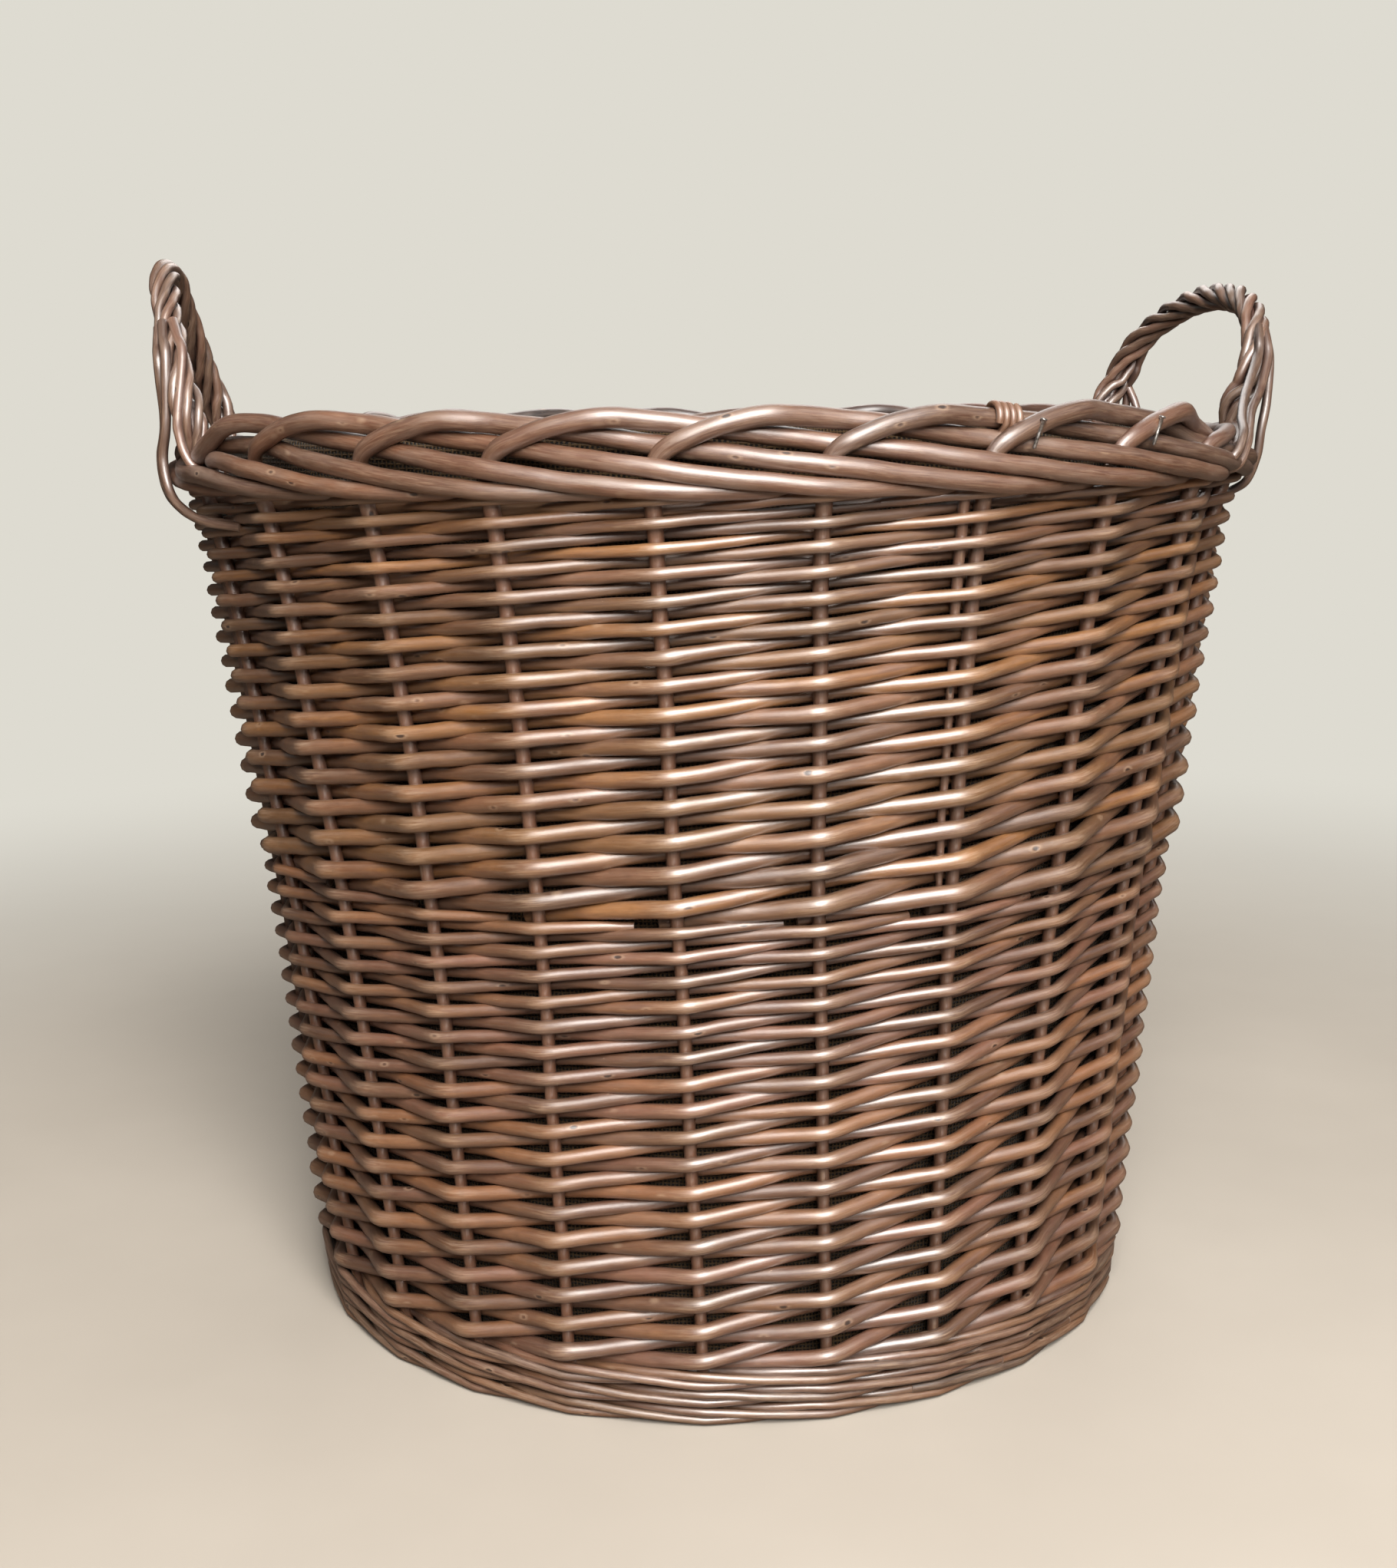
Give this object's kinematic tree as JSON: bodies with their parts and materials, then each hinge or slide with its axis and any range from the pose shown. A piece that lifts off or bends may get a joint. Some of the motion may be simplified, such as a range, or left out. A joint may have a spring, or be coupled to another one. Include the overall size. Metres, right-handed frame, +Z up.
{
  "type": "wicker log basket",
  "caption": "Round tapered willow log basket with a randed wall, waled foot, plain rod border, two roped end handles and a hessian lining",
  "frame": {"origin": "centre of the basket's foot, on the surface it stands on", "axes": "+Z up along the basket's axis, the front faces -Y, the handles stand near -X and +X"},
  "size_m": [0.5331, 0.5138, 0.5011],
  "materials": {
    "stake_willow": "stained and waxed willow rod, satin",
    "weave_willow": "stained and waxed willow rod, satin",
    "border_willow": "stained and waxed willow rod, satin",
    "base_willow": "stained willow rod, dull",
    "rope_willow": "stained fine willow rod, twisted, satin",
    "pin_wire": "dull wire",
    "hessian": "coarse open jute cloth"
  },
  "bodies": {
    "root": {"base_slit_stick_1": "base_willow", "base_slit_stick_2": "base_willow", "base_slit_stick_3": "base_willow", "base_stick_1": "base_willow", "base_stick_2": "base_willow", "base_stick_3": "base_willow", "base_tie": "base_willow", "base_weave": "base_willow", "foot_wale": "weave_willow", "lower_weave": "weave_willow", "upper_weave": "weave_willow", "stake_1": "stake_willow", "stake_2": "stake_willow", "stake_3": "stake_willow", "stake_4": "stake_willow", "stake_5": "stake_willow", "stake_6": "stake_willow", "stake_7": "stake_willow", "stake_8": "stake_willow", "stake_9": "stake_willow", "stake_10": "stake_willow", "stake_11": "stake_willow", "stake_12": "stake_willow", "stake_13": "stake_willow", "stake_14": "stake_willow", "stake_15": "stake_willow", "stake_16": "stake_willow", "stake_17": "stake_willow", "stake_18": "stake_willow", "stake_19": "stake_willow", "stake_20": "stake_willow", "stake_21": "stake_willow", "stake_22": "stake_willow", "stake_23": "stake_willow", "stake_24": "stake_willow", "by_stakes": "stake_willow", "border": "border_willow", "border_lap": "rope_willow", "border_pins": "pin_wire", "handle_bow_left": "rope_willow", "handle_rope_left": "rope_willow", "handle_lap_left": "rope_willow", "handle_bow_right": "rope_willow", "handle_rope_right": "rope_willow", "handle_lap_right": "rope_willow", "lining": "hessian"}
  },
  "joints": []
}
